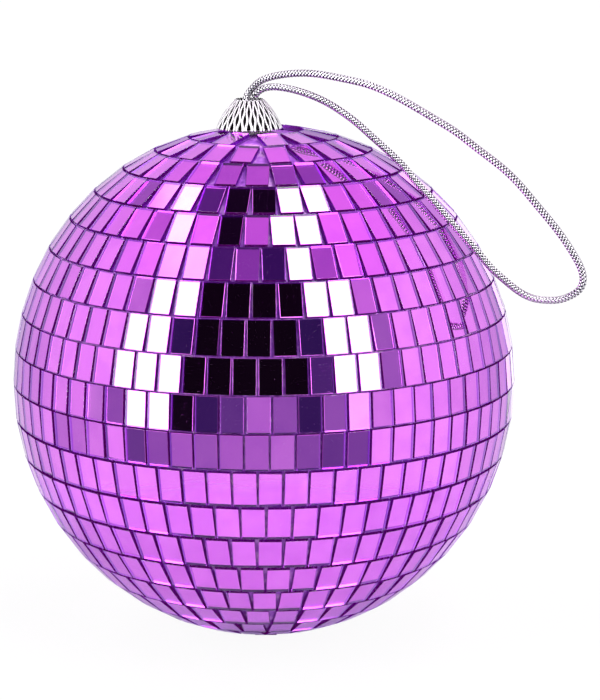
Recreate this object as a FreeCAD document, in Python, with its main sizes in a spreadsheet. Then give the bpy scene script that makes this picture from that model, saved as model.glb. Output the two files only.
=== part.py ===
import FreeCAD, Part
import math
import os

import Sketcher

# Hanging mirror ball, 150 mm across.  Units are millimetres, +Z is up.
# The origin is the hanging point: the centre of the crown of the filigree cap, where the cord
# leaves it.  The ball hangs below, with its own axis a few millimetres to the +X side of the cap.
# The cord loop has flopped over towards +X and a little towards -Y, along the plane set by
# loop_azimuth.

Vector = FreeCAD.Vector
Placement = FreeCAD.Placement
Rotation = FreeCAD.Rotation

os.makedirs("parts", exist_ok=True)
doc = FreeCAD.newDocument("MirrorBall")

# ---------------------------------------------------------------- driving dimensions
DIMS = [
    # ball
    ("ball_radius", 75.0), ("north_stretch", 0.025), ("south_stretch", 0.031),
    ("polar_flat", 1.0), ("ball_offset_x", 4.1), ("ball_drop", 84.1),
    # glass tiles
    ("tile_width", 6.4), ("tile_height", 10.05), ("tile_thickness", 1.5),
    ("tile_wobble", 0.7), ("tile_yaw", 0.35), ("south_joint_half", 0.3),
    # adhesive bed under the tiles: clearances, then its ends beyond the first and last rows
    ("bed_gap", 0.14), ("bed_liner", 0.25), ("bed_split_half", 0.05), ("bed_rim", 0.98),
    ("bed_north_rise", 0.35), ("bed_south_radius", 6.1), ("bed_south_step", 0.5),
    ("bed_south_drop", 0.7),
    # foam core halves
    ("core_radius", 72.0), ("core_height_north", 72.6), ("core_height_south", 74.3),
    ("seam_half", 0.15), ("spigot_radius", 15.0), ("spigot_length", 6.0), ("spigot_root", 5.0),
    ("spigot_play", 0.05), ("socket_length", 6.4),
    ("glue_outer", 71.6), ("glue_inner", 15.6), ("glue_play", 0.02),
    # hanger plug and its hole
    ("plug_radius", 3.0), ("plug_hole_radius", 3.3), ("plug_head_radius", 4.6),
    ("plug_head_height", 1.2), ("plug_length", 27.0), ("plug_top", -8.0),
    ("plug_hole_bottom", -37.5), ("plug_tip_radius", 1.2), ("plug_tip_length", 2.0),
    # the plug's barbs: barb_free is the length above the plug's end where no barb starts
    ("plug_barb", 0.25), ("plug_barb_pitch", 5.0), ("barb_first", 3.0), ("barb_free", 4.0),
    ("barb_undercut", 0.3), ("barb_lip", 0.2), ("barb_taper_end", 2.2), ("barb_end", 2.6),
    # filigree cap
    ("cap_height", 8.4), ("cap_base_radius", 9.75), ("cap_crown_radius", 4.25),
    ("cap_wall", 0.8), ("crown_lip", 0.9), ("crown_hole_radius", 3.35), ("cap_slits", 22.0),
    ("cap_bulge", 0.60),
    # glue bead in the mouth of the cap
    ("bead_radius", 6.8), ("bead_top_radius", 5.5), ("bead_bore", 4.75), ("bead_height", 2.4),
    ("bead_bottom", -9.45),
    # cord
    ("cord_radius", 1.15), ("loop_azimuth", -21.0), ("strand_offset", 0.75),
    ("strand_closing", 25.0), ("cord_trim", 1.75),
    ("knot_radius", 3.2), ("knot_half_height", 2.45), ("knot_centre", -2.73),
    ("stub_bottom", -0.23), ("stub_top", 0.85), ("stub_spread", 1.45), ("stub_shift", 0.25),
    ("washer_radius", 3.7), ("washer_hole", 2.95), ("washer_thickness", 0.8),
    ("washer_play", 0.05),
    ("bend_gap_one", 1.5), ("bend_gap_two", 1.0), ("bend_gap_three", 0.9),
    # how far a cutting cylinder overruns each end of what it bores
    ("overrun", 1.0),
]
sheet = doc.addObject("Spreadsheet::Sheet", "Dims")
for line_number, (alias, value) in enumerate(DIMS, start=1):
    sheet.set("A%d" % line_number, alias)
    sheet.set("B%d" % line_number, repr(value))
    sheet.setAlias("B%d" % line_number, alias)
doc.recompute()


def dim(alias):
    return float(getattr(sheet, alias))


# ---------------------------------------------------------------- measured tables
# Latitudes in degrees of the joints above, between and below the rows of tiles, north to south.
ROW_JOINTS = [81, 73, 64.7, 56.5, 48.3, 40.2, 32.1, 24.15, 16.2, 8.3, 0.45, -7.5, -15.65, -23.75,
              -31.9, -40, -48.1, -56, -64, -72, -80.1]

# Longitude in degrees of each tile's middle, one list per row, north to south.  Longitude 0
# faces -Y and grows towards +X.  The tiles are laid by hand, so their spacing is uneven and
# opens into wedges along four meridians.
TILE_ROWS = [
    [10, 39.5, 71.2, 103.11, 135.02, 166.94, -161.15, -129.24, -97.32, -65.41, -33.5],
    [-45.1, -28, -10.6, 9.2, 27.5, 44.7, 61.8, 79.88, 97.96, 116.04, 134.11, 152.19,
     170.27, -171.65, -153.57, -135.49, -117.41, -99.34, -81.26, -63.18],
    [-39.45, -27.2, -14.55, -1.75, 10.04, 21.82, 33.6, 45.37, 57.15, 68.93, 80.71,
     92.48, 104.26, 116.04, 127.99, 140.01, 152.03, 164.05, 176.07, -171.91, -159.89,
     -147.87, -135.85, -123.83, -111.81, -99.79, -87.77, -75.75, -63.73, -51.71],
    [-65.16, -56.02, -46.87, -37.05, -27.2, -17.75, -8.15, 1.02, 10.16, 19.31,
     28.45, 37.6, 46.75, 55.89, 65.04, 74.18, 83.33, 92.48, 101.62, 110.77, 119.95, 129.15,
     138.34, 147.53, 156.72, 165.91, 175.1, -175.7, -166.51, -157.32, -148.13, -138.94,
     -129.75, -120.55, -111.36, -102.17, -92.98, -83.79, -74.6],
    [-65.1, -56.75, -48.7, -40.65, -32.6, -24.7, -16.8, -9, -1.15, 6.6, 14.25,
     22.06, 29.67, 37.28, 45, 52.8, 60.55, 68.3, 76.11, 83.91, 91.71, 99.52, 107.32, 115.12,
     122.93, 130.73, 138.53, 146.34, 154.14, 161.94, 169.75, 177.55, -174.65, -166.84,
     -159.04, -151.24, -143.43, -135.63, -127.83, -120.02, -112.22, -104.42, -96.61, -88.81,
     -81.01, -73.2],
    [-73.55, -66.05, -59, -52.05, -44.95, -37.9, -30.95, -24.15, -17.2, -10.25,
     -3.4, 3.4, 10.2, 16.95, 23.75, 30.55, 37.25, 43.97, 50.61, 57.24, 63.87, 70.5, 77.14,
     83.77, 90.5, 97.25, 103.99, 110.73, 117.48, 124.22, 130.97, 137.71, 144.45, 151.2,
     157.94, 164.68, 171.43, 178.17, -175.08, -168.34, -161.6, -154.85, -148.11, -141.37,
     -134.62, -127.88, -121.13, -114.39, -107.65, -100.9, -94.16, -87.42, -80.67],
    [-68.6, -62.35, -55.8, -49.4, -43, -36.75, -30.5, -24.2, -17.85, -11.45,
     -5.2, 0.95, 7.2, 13.5, 19.6, 25.65, 31.8, 37.9, 44, 50.1, 56.09, 62.07, 68.06, 74.05,
     80.04, 86.04, 92.27, 98.5, 104.73, 110.96, 117.19, 123.42, 129.65, 135.88, 142.11,
     148.34, 154.57, 160.8, 167.03, 173.26, 179.49, -174.29, -168.06, -161.83, -155.6,
     -149.37, -143.14, -136.91, -130.68, -124.45, -118.22, -111.99, -105.76, -99.53, -93.3,
     -87.07, -80.84, -74.61],
    [-70.5, -64.7, -58.8, -52.8, -46.9, -41.1, -35.25, -29.4, -23.6, -17.75,
     -11.9, -6.1, -0.3, 5.55, 11.4, 17.15, 22.85, 28.65, 34.35, 39.95, 45.65, 51.35, 57.04,
     62.6, 68.16, 73.72, 79.55, 85.38, 91.21, 97.05, 102.88, 108.71, 114.54, 120.38, 126.21,
     132.04, 137.87, 143.71, 149.54, 155.37, 161.2, 167.04, 172.87, 178.7, -175.47, -169.64,
     -163.8, -157.97, -152.14, -146.31, -140.47, -134.64, -128.81, -122.98, -117.14,
     -111.31, -105.48, -99.65, -93.81, -87.98, -82.15, -76.32],
    [-70.5, -64.75, -59.05, -53.45, -47.9, -42.35, -36.8, -31.2, -25.65, -20,
     -14.35, -8.85, -3.35, 2.2, 7.8, 13.3, 18.7, 24.25, 29.75, 35.15, 40.6, 45.91, 51.19,
     56.48, 61.77, 67.06, 72.35, 77.64, 82.93, 88.36, 93.94, 99.53, 105.11, 110.7, 116.28,
     121.87, 127.45, 133.03, 138.62, 144.2, 149.79, 155.37, 160.96, 166.54, 172.12, 177.71,
     -176.71, -171.12, -165.54, -159.96, -154.37, -148.79, -143.2, -137.62, -132.03,
     -126.45, -120.87, -115.28, -109.7, -104.11, -98.53, -92.94, -87.36, -81.78, -76.19],
    [-71.95, -66.65, -61.1, -55.25, -49.5, -43.95, -38.5, -33.05, -27.55, -22.1,
     -16.7, -11.35, -5.95, -0.35, 5.15, 10.5, 15.9, 21.4, 26.8, 32.05, 37.3, 42.5, 47.75,
     53.1, 58.3, 63.45, 68.9, 74.44, 79.92, 85.4, 90.88, 96.36, 101.84, 107.32, 112.8,
     118.28, 123.76, 129.23, 134.71, 140.19, 145.67, 151.15, 156.63, 162.11, 167.59, 173.07,
     178.55, -175.97, -170.49, -165.01, -159.53, -154.05, -148.57, -143.09, -137.61,
     -132.13, -126.66, -121.18, -115.7, -110.22, -104.74, -99.26, -93.78, -88.3, -82.82,
     -77.34],
    [-60.55, -55.1, -49.3, -43.7, -38.4, -33, -27.65, -22.35, -16.95, -11.55,
     -6.15, -0.75, 4.65, 10.1, 15.55, 21.1, 26.55, 31.9, 37.3, 42.7, 48.1, 53.6, 59.05,
     64.45, 70, 75.53, 81, 86.46, 91.92, 97.39, 102.85, 108.31, 113.78, 119.24, 124.7,
     130.17, 135.63, 141.09, 146.56, 152.02, 157.48, 162.95, 168.41, 173.87, 179.34, -175.2,
     -169.74, -164.27, -158.81, -153.35, -147.88, -142.42, -136.96, -131.49, -126.03,
     -120.57, -115.1, -109.64, -104.18, -98.71, -93.25, -87.79, -82.32, -76.86, -71.4, -65.93],
    [-59, -53.45, -47.75, -42.05, -36.55, -31.05, -25.55, -20, -14.45, -8.95,
     -3.4, 2.15, 7.65, 13.2, 18.8, 24.35, 29.9, 35.45, 41, 46.7, 52.45, 58.1, 63.65, 69.16,
     74.68, 80.2, 85.72, 91.24, 96.75, 102.27, 107.79, 113.31, 118.83, 124.35, 129.87,
     135.39, 140.91, 146.43, 151.95, 157.46, 162.98, 168.5, 174.02, 179.54, -174.94,
     -169.42, -163.9, -158.38, -152.86, -147.35, -141.83, -136.31, -130.79, -125.27,
     -119.75, -114.23, -108.71, -103.19, -97.67, -92.15, -86.64, -81.12, -75.6, -70.08,
     -64.56],
    [-59.85, -53.95, -47.95, -42.25, -36.5, -30.7, -24.85, -19, -13.25, -7.5,
     -1.75, 4.1, 10, 15.8, 21.55, 27.35, 33.25, 39.15, 45.1, 51, 56.95, 63.05, 68.99, 74.77,
     80.56, 86.34, 92.12, 97.9, 103.69, 109.47, 115.25, 121.03, 126.82, 132.6, 138.38,
     144.16, 149.95, 155.73, 161.51, 167.29, 173.08, 178.86, -175.36, -169.58, -163.79,
     -158.01, -152.23, -146.45, -140.66, -134.88, -129.1, -123.32, -117.53, -111.75,
     -105.97, -100.19, -94.4, -88.62, -82.84, -77.06, -71.27, -65.49],
    [-61.4, -54.85, -48.15, -41.75, -35.5, -29.2, -22.95, -16.75, -10.5, -4.2,
     2.1, 8.35, 14.55, 20.8, 27, 33.25, 39.55, 45.9, 52.35, 58.75, 65.06, 71.37, 77.68,
     83.99, 90.3, 96.61, 102.92, 109.23, 115.54, 121.85, 128.16, 134.47, 140.79, 147.1,
     153.41, 159.72, 166.03, 172.34, 178.65, -175.04, -168.73, -162.42, -156.11, -149.8,
     -143.49, -137.17, -130.86, -124.55, -118.24, -111.93, -105.62, -99.31, -93, -86.69,
     -80.38, -74.07, -67.76],
    [-58.4, -50.9, -43.6, -36.9, -29.95, -22.9, -15.9, -9.15, -2.5, 4.35, 11.4,
     18.35, 25.2, 32, 38.95, 46.25, 53.6, 60.64, 67.53, 74.41, 81.3, 88.19, 95.07, 101.96,
     108.84, 115.73, 122.61, 129.5, 136.39, 143.27, 150.16, 157.04, 163.93, 170.81, 177.7,
     -175.41, -168.53, -161.64, -154.76, -147.87, -140.99, -134.1, -127.21, -120.33,
     -113.44, -106.56, -99.67, -92.79, -85.9, -79.01, -72.13, -65.24],
    [-47.05, -38.85, -30.95, -22.7, -14.64, -7.06, 0.7, 8.7, 16.65, 24.4, 32.3,
     40.7, 49.3, 57.59, 65.56, 73.54, 81.51, 89.49, 97.46, 105.44, 113.41, 121.39, 129.36,
     137.34, 145.31, 153.29, 161.26, 169.24, 177.21, -174.81, -166.84, -158.86, -150.89,
     -142.91, -134.94, -126.96, -118.99, -111.01, -103.04, -95.06, -87.09, -79.11, -71.14,
     -63.16, -55.19],
    [-40.4, -30.4, -20.55, -11, -1.65, 8.2, 17.75, 27.05, 37.25, 47.48, 56.84,
     66.21, 75.57, 84.93, 94.29, 103.65, 113.02, 122.38, 131.74, 141.1, 150.46, 159.83,
     169.19, 178.55, -172.09, -162.73, -153.36, -144, -134.64, -125.28, -115.92, -106.55,
     -97.19, -87.83, -78.47, -69.11, -59.74, -50.38],
    [-29, -16.35, -4.35, 7.95, 19.9, 32.8, 45.92, 57.77, 69.61, 81.46, 93.31,
     105.15, 117, 128.84, 140.69, 152.54, 164.38, 176.23, -171.93, -160.08, -148.24,
     -136.39, -124.54, -112.7, -100.85, -89.01, -77.16, -65.31, -53.47, -41.62],
    [-24.5, -7.5, 9.5, 26.5, 43.59, 60.76, 77.94, 95.12, 112.29, 129.47, 146.65,
     163.82, -179, -161.82, -144.65, -127.47, -110.29, -93.12, -75.94, -58.76, -41.59],
    [1.35, 34.06, 66.8, 99.52, 132.25, 164.99, -162.28, -129.55, -96.82, -64.09, -31.37],
]

# The tiles next to the cap were fitted round it, so some stand askew: degrees that the northern
# end is turned to the west, by row (from 1) and place in the row (from 0).
TILE_TURNS = {(1, 0): 8.0, (2, 2): -3.0, (2, 3): 3.0, (2, 4): 5.0}

# Rings of slits in the cap, top to bottom: height of the middle, half height, width.
SLIT_RINGS = [(-2.35, 1.15, 0.75), (-4.55, 1.2, 0.95), (-6.75, 1.15, 1.10)]

# Middle line of the cord loop in its own plane: distance from the cap's axis, height above the
# crown.  It leaves the crown, runs over the top, round the end of the loop and back.
CORD_LINE = [
    (-1.13, 0.22), (0.35, 2.66), (2.93, 5.1), (7.27, 6.78), (12.72, 7.78), (17.72, 8.13),
    (23.11, 7.82), (29.49, 6.88), (36.57, 5.62), (43.59, 3.21), (52.01, -0.76), (58.41, -4.16),
    (63.91, -7.15), (69.86, -11.32), (76.59, -15.87), (82.09, -20.42), (87.15, -25.79),
    (91.77, -30.81), (96.01, -35.8), (99.82, -41.25), (101.95, -45.15), (102.44, -48.36),
    (101.67, -50.43), (99.25, -52.24), (95.99, -53.88), (92.26, -54.34), (88.11, -54.21),
    (83.49, -52.44), (78.81, -49.06), (74.56, -45.64), (71.14, -41.76), (67.26, -37.87),
    (64.26, -34.77), (60.41, -30.9), (56.54, -26.58), (51.78, -21.92), (48.76, -18.4),
    (45.83, -15.65), (40.87, -11.53), (37.35, -8.69), (33.8, -5.81), (29.52, -2.98),
    (24.52, -0.17), (19.53, 1.83), (14.5, 3.17), (9.82, 3.82), (6.19, 3.69), (3.27, 2.41),
    (1.8, 0.33),
]

# Runs of two strands from the crown outwards: object name, label, then the bend that ends the
# run as a point of the upper strand, the lower strand's point abreast of it, and its gap.
CORD_RUNS = [
    ("CordA", "cord_at_crown", (10.0, 7.35), (10.4, 3.85), "bend_gap_one"),
    ("CordB", "cord_near_run", (40.0, 4.55), (35.8, -7.7), "bend_gap_two"),
    ("CordC", "cord_mid_run", (72.0, -12.85), (59.7, -30.2), "bend_gap_three"),
]

# ---------------------------------------------------------------- modelling helpers
BALL = Vector(dim("ball_offset_x"), 0, -dim("ball_drop"))
SEAM = dim("seam_half")
OVERRUN = dim("overrun")
subparts = []


def keep(obj, label):
    """Label a finished piece and list it for export."""
    obj.Label = label
    subparts.append(obj)


def bind(obj, **rules):
    for prop, rule in rules.items():
        obj.setExpression(prop, rule)
    return obj


def up(z):
    return Vector(0, 0, z)


def cylinder(name, radius, height, base):
    """An upright cylinder; radius and height are expressions, base is its lower centre."""
    obj = bind(doc.addObject("Part::Cylinder", name), Radius=radius, Height=height)
    obj.Placement = Placement(base, Rotation())
    return obj


def ellipsoid(name, half_height, radius, centre):
    obj = bind(doc.addObject("Part::Ellipsoid", name),
               Radius1=half_height, Radius2=radius, Radius3=radius)
    obj.Placement = Placement(centre, Rotation())
    return obj


def combine(kind, name, base, tool):
    """A Part::Cut or Part::Fuse of two objects."""
    obj = doc.addObject(kind, name)
    obj.Base, obj.Tool = base, tool
    return obj


def compound(name, links):
    obj = doc.addObject("Part::Compound", name)
    obj.Links = links
    return obj


def origin_feature(body, role):
    return next(f for f in body.Origin.OriginFeatures if f.Role == role)


def sketch_on(body, name, role):
    sketch = body.newObject("Sketcher::SketchObject", name)
    sketch.AttachmentSupport = [(origin_feature(body, role), "")]
    sketch.MapMode = "FlatFace"
    return sketch


def closed_outline(sketch, points):
    count = len(points)
    for i in range(count):
        start, end = points[i], points[(i + 1) % count]
        sketch.addGeometry(Part.LineSegment(Vector(*start, 0), Vector(*end, 0)), False)
    for i in range(count):
        sketch.addConstraint(Sketcher.Constraint("Coincident", i, 2, (i + 1) % count, 1))


def revolved_body(name, points, base):
    """A body turned about its own Z axis from an outline of (radius, height) points."""
    body = doc.addObject("PartDesign::Body", name)
    sketch = sketch_on(body, name + "Profile", "XZ_Plane")
    closed_outline(sketch, points)
    turned = body.newObject("PartDesign::Revolution", name + "Revolution")
    turned.Profile = sketch
    turned.ReferenceAxis = (sketch, ["V_Axis"])
    turned.Angle = 360
    body.Placement = Placement(base, Rotation())
    return body


def through_pocket(body, name, sketch):
    pocket = body.newObject("PartDesign::Pocket", name)
    pocket.Profile = sketch
    pocket.Type = "ThroughAll"
    return pocket


# ---------------------------------------------------------------- the ball's profile
FLAT_POWER = 12       # the higher it is, the closer the flattening keeps to the pole


def sin_cos(degrees):
    return math.sin(math.radians(degrees)), math.cos(math.radians(degrees))


def profile(lat):
    """Radius, height and outward normal (radial, axial) of the ball's glass surface."""
    sine, cosine = sin_cos(lat)
    radius = dim("ball_radius")
    if sine >= 0:
        stretch, flat = 1 + dim("north_stretch"), dim("polar_flat")
    else:
        stretch, flat = 1 + dim("south_stretch"), 0.0
    z = radius * stretch * sine - flat * sine ** FLAT_POWER
    slope_r = -radius * sine
    slope_z = (radius * stretch * cosine
               - FLAT_POWER * flat * sine ** (FLAT_POWER - 1) * cosine)
    size = math.hypot(slope_r, slope_z)
    return radius * cosine, z, slope_z / size, -slope_r / size


def bed_line(lat):
    """A point on a row's bed line (radius, height) and its direction towards the north."""
    r, z, normal_r, normal_z = profile(lat)
    back = dim("tile_thickness") + dim("bed_gap")
    return r - back * normal_r, z - back * normal_z, -normal_z, normal_r


def crossing(first, second):
    """Where two bed lines meet."""
    r1, z1, dr1, dz1 = first
    r2, z2, dr2, dz2 = second
    share = ((r2 - r1) * dz2 - (z2 - z1) * dr2) / (dr1 * dz2 - dz1 * dr2)
    return r1 + share * dr1, z1 + share * dz1


def at_height(line, z):
    r0, z0, dr, dz = line
    return r0 + (z - z0) / dz * dr, z


ROW_MIDDLES = [(north + south) / 2 for north, south in zip(ROW_JOINTS, ROW_JOINTS[1:])]


# ---------------------------------------------------------------- foam core
def half_core(tag, low, high, height, centre):
    """Half an ellipsoid between two latitudes."""
    dome = ellipsoid("Dome" + tag, "Dims." + height, "Dims.core_radius", centre)
    dome.Angle1, dome.Angle2, dome.Angle3 = low, high, 360
    return dome


def make_core_upper():
    face = BALL + up(SEAM)
    dome = half_core("Upper", 0, 90, "core_height_north", face)
    socket = cylinder("SpigotSocket", "Dims.spigot_radius + Dims.spigot_play",
                      "Dims.socket_length", face)
    plug_hole = cylinder("PlugHole", "Dims.plug_hole_radius", "-1 * Dims.plug_hole_bottom",
                         up(dim("plug_hole_bottom")))
    socketed = combine("Part::Cut", "UpperDomeWithSocket", dome, socket)
    keep(combine("Part::Cut", "CoreUpper", socketed, plug_hole), "foam_core_upper")


def make_core_lower():
    dome = half_core("Lower", -90, 0, "core_height_south", BALL - up(SEAM))
    spigot = cylinder("Spigot", "Dims.spigot_radius",
                      "Dims.spigot_length + 2 * Dims.seam_half + Dims.spigot_root",
                      BALL - up(SEAM + dim("spigot_root")))
    keep(combine("Part::Fuse", "CoreLower", dome, spigot), "foam_core_lower")


def make_core_glue():
    """The film between the halves, round the spigot."""
    disc = cylinder("GlueDisc", "Dims.glue_outer", "2 * (Dims.seam_half - Dims.glue_play)",
                    BALL - up(SEAM - dim("glue_play")))
    hole = cylinder("GlueDiscHole", "Dims.glue_inner", "2 * (Dims.seam_half + Dims.overrun)",
                    BALL - up(SEAM + OVERRUN))
    keep(combine("Part::Cut", "CoreGlue", disc, hole), "core_glue_film")


# ---------------------------------------------------------------- adhesive bed
# Each row of tiles sits on its own short cone, so the bed's outer face is a chain of cones.
BED_LINES = [bed_line(lat) for lat in ROW_MIDDLES]
BED_CORNERS = [crossing(first, second) for first, second in zip(BED_LINES, BED_LINES[1:])]
EQUATOR_ROW = 10      # index of the row whose cone the equator lies on, just below its top joint
LINER_LATITUDES = range(84, 0, -7)


def liner_outline(height, side):
    """The bed's inner outline, pole to equator, just outside the foam so that its straight
    facets clear it.  side is 1 for the northern half and -1 for the southern."""
    scale = 1 + dim("bed_liner") / dim("core_radius")
    equator_radius = dim("core_radius") * scale
    pole_height = (dim(height) + SEAM) * scale
    points = [(0.0, side * pole_height)]
    for lat in LINER_LATITUDES:
        sine, cosine = sin_cos(lat)
        points.append((equator_radius * cosine, side * pole_height * sine))
    return points + [(equator_radius, side * dim("bed_split_half"))]


def make_bed_upper():
    equator = at_height(BED_LINES[EQUATOR_ROW], dim("bed_split_half"))
    rim = at_height(BED_LINES[0], BED_LINES[0][1] + dim("bed_rim"))
    outer = [equator] + BED_CORNERS[EQUATOR_ROW - 1::-1]
    outer += [rim, (0.0, rim[1] + dim("bed_north_rise"))]
    bed = revolved_body("BedUpper", outer + liner_outline("core_height_north", 1), BALL)
    doc.recompute()

    # the plug's hole is on the cap's axis, off the ball's own
    sketch = sketch_on(bed, "BedPlugHole", "XY_Plane")
    centre = Vector(-dim("ball_offset_x"), 0, 0)
    radius = dim("plug_hole_radius")
    sketch.addGeometry(Part.Circle(centre, Vector(0, 0, 1), radius), False)
    index = sketch.addConstraint(Sketcher.Constraint("Radius", 0, radius))
    sketch.setExpression("Constraints[%d]" % index, "Dims.plug_hole_radius")
    through_pocket(bed, "BedPlugPocket", sketch).Reversed = True
    doc.recompute()
    keep(bed, "adhesive_bed_upper")


def make_bed_lower():
    equator = at_height(BED_LINES[EQUATOR_ROW], -dim("bed_split_half"))
    rim = at_height(BED_LINES[-1], BED_LINES[-1][1] - dim("bed_rim"))
    outer = [equator] + BED_CORNERS[EQUATOR_ROW:]
    outer += [rim, (dim("bed_south_radius"), rim[1] - dim("bed_south_step")),
              (0.0, rim[1] - dim("bed_south_drop"))]
    bed = revolved_body("BedLower", outer + liner_outline("core_height_south", -1), BALL)
    keep(bed, "adhesive_bed_lower")


# ---------------------------------------------------------------- glass tiles
SOUTH_ROW = 31        # row number that seeds the wobble of the tiles at the south pole


def scatter(row, place, axis):
    """A repeatable number from -1 to 1 for one tile and one of its three tilts."""
    x = math.sin(12.9898 * row + 78.233 * place + 37.719 * axis) * 43758.5453
    return 2 * (x - math.floor(x)) - 1


def tile(name, centre, radial, east, seed):
    """One tile: its outer face is centred at centre, looks along radial, its width is along
    east.  seed is its (row, place).  Hand laying tips it a little."""
    north = radial.cross(east)
    frame = Rotation(FreeCAD.Matrix(radial.x, east.x, north.x, 0, radial.y, east.y, north.y, 0,
                                    radial.z, east.z, north.z, 0, 0, 0, 0, 1))
    wobble = dim("tile_wobble")
    yaw = dim("tile_yaw") * scatter(*seed, 3) + TILE_TURNS.get(seed, 0.0)
    lay = frame * Rotation(Vector(0, 1, 0), wobble * scatter(*seed, 1))
    lay = lay * Rotation(Vector(0, 0, 1), wobble * scatter(*seed, 2))
    lay = lay * Rotation(Vector(1, 0, 0), yaw)
    box = bind(doc.addObject("Part::Box", name), Length="Dims.tile_thickness",
               Width="Dims.tile_width", Height="Dims.tile_height")
    corner = Vector(-dim("tile_thickness"), -dim("tile_width") / 2, -dim("tile_height") / 2)
    box.Placement = Placement(BALL + centre + lay.multVec(corner), lay)
    return box


def make_tile_row(row, lat, longitudes):
    r, z, normal_r, normal_z = profile(lat)
    tiles = []
    for place, lon in enumerate(longitudes):
        sine, cosine = sin_cos(lon - 90)
        centre = Vector(r * cosine, r * sine, z)
        radial = Vector(normal_r * cosine, normal_r * sine, normal_z)
        east = Vector(-sine, cosine, 0)
        tiles.append(tile("Tile%02d" % row, centre, radial, east, (row, place)))
    keep(compound("TileRow%02d" % row, tiles), "tile_row_%02d" % row)


def make_south_tiles():
    """Four tiles close the opening left at the south pole."""
    tiles = []
    joint = dim("south_joint_half")
    for place, (side_x, side_y) in enumerate([(-1, -1), (1, -1), (-1, 1), (1, 1)]):
        x = side_x * (dim("tile_width") / 2 + joint)
        y = side_y * (dim("tile_height") / 2 + joint)
        r = math.hypot(x, y)
        lat = -math.degrees(math.acos(r / dim("ball_radius")))
        _, z, normal_r, normal_z = profile(lat)
        radial = Vector(normal_r * x / r, normal_r * y / r, normal_z)
        east = Vector(1, 0, 0) - radial * radial.x
        east.normalize()
        tiles.append(tile("SouthTile", Vector(x, y, z), radial, east, (SOUTH_ROW, place)))
    keep(compound("SouthTiles", tiles), "south_pole_tiles")


# ---------------------------------------------------------------- hanger plug and its glue
def make_plug():
    """A barbed plug pushed into the foam from the north; its head lies in the cap's mouth."""
    head, head_height = dim("plug_head_radius"), dim("plug_head_height")
    stem, length = dim("plug_radius"), dim("plug_length")
    neck = stem - dim("barb_undercut")
    points = [(0, 0), (head, 0), (head, -head_height), (stem, -head_height)]
    z = -head_height - dim("barb_first")
    while z > -length + dim("barb_free"):
        points += [(stem, z), (stem + dim("plug_barb"), z - dim("barb_lip")),
                   (neck, z - dim("barb_taper_end")), (neck, z - dim("barb_end"))]
        z -= dim("plug_barb_pitch")
    points += [(neck, -length + dim("plug_tip_length")), (dim("plug_tip_radius"), -length),
               (0, -length)]
    keep(revolved_body("HangerPlug", points, up(dim("plug_top"))), "hanger_plug")


def make_bead():
    """Bead of hot glue that fills the mouth of the cap round the plug's head."""
    cone = bind(doc.addObject("Part::Cone", "BeadCone"), Radius1="Dims.bead_radius",
                Radius2="Dims.bead_top_radius", Height="Dims.bead_height")
    cone.Placement = Placement(up(dim("bead_bottom")), Rotation())
    bore = cylinder("BeadBore", "Dims.bead_bore", "Dims.bead_height + 2 * Dims.overrun",
                    up(dim("bead_bottom") - OVERRUN))
    keep(combine("Part::Cut", "CapGlue", cone, bore), "cap_glue_bead")


# ---------------------------------------------------------------- filigree cap
CAP_STEPS = 8         # straight facets down the cap's side


def cap_radius(share):
    """Outer radius at a share of the way from the crown to the mouth."""
    crown = dim("cap_crown_radius")
    return (crown + (dim("cap_base_radius") - crown) * share
            + dim("cap_bulge") * math.sin(math.pi * share))


def cut_slit_ring(cap, ring, middle, half_height, width):
    """One ring of upright diamond slits, every other ring turned by half a pitch."""
    sketch = sketch_on(cap, "SlitProfile%d" % ring, "XZ_Plane")
    turn = 180.0 / int(dim("cap_slits")) * ((ring - 1) % 2)
    sketch.AttachmentOffset = Placement(Vector(0, 0, 0), Rotation(Vector(0, 1, 0), turn))
    closed_outline(sketch, [(0, middle + half_height), (width / 2, middle),
                            (0, middle - half_height), (-width / 2, middle)])
    slit = through_pocket(cap, "Slit%d" % ring, sketch)
    doc.recompute()
    pattern = cap.newObject("PartDesign::PolarPattern", "SlitRing%d" % ring)
    pattern.Originals = [slit]
    pattern.Axis = (origin_feature(cap, "Z_Axis"), [""])
    pattern.Angle = 360
    pattern.setExpression("Occurrences", "Dims.cap_slits")
    cap.Tip = pattern
    doc.recompute()


def make_cap():
    """A rounded cone of openwork."""
    height, wall, lip = dim("cap_height"), dim("cap_wall"), dim("crown_lip")
    hole = dim("crown_hole_radius")
    outside = [(cap_radius(i / CAP_STEPS), -height * i / CAP_STEPS)
               for i in range(CAP_STEPS + 1)]
    inside = [(r - wall, z) for r, z in outside[:0:-1] if -z > lip]
    crown = [(cap_radius(lip / height) - wall, -lip), (hole, -lip), (hole, 0)]
    cap = revolved_body("FiligreeCap", outside + inside + crown, Vector(0, 0, 0))
    doc.recompute()
    whole = cap.Shape.Volume
    for ring, sizes in enumerate(SLIT_RINGS, start=1):
        cut_slit_ring(cap, ring, *sizes)
    # a pocket or pattern that misses the wall leaves the volume almost unchanged
    if not 0.55 * whole < cap.Shape.Volume < 0.95 * whole:
        raise RuntimeError("the cap's slits are not cut: %.1f of %.1f"
                           % (cap.Shape.Volume, whole))
    keep(cap, "filigree_cap")


# ---------------------------------------------------------------- cord
AZIMUTH_SINE, AZIMUTH_COSINE = sin_cos(dim("loop_azimuth"))
ALONG = Vector(AZIMUTH_COSINE, AZIMUTH_SINE, 0)
ACROSS = Vector(-AZIMUTH_SINE, AZIMUTH_COSINE, 0)
SEARCH_STEPS = 800    # arc length steps when looking for the nearest place on the cord


def in_loop(distance, height, side):
    return ALONG * distance + ACROSS * side + up(height)


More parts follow.
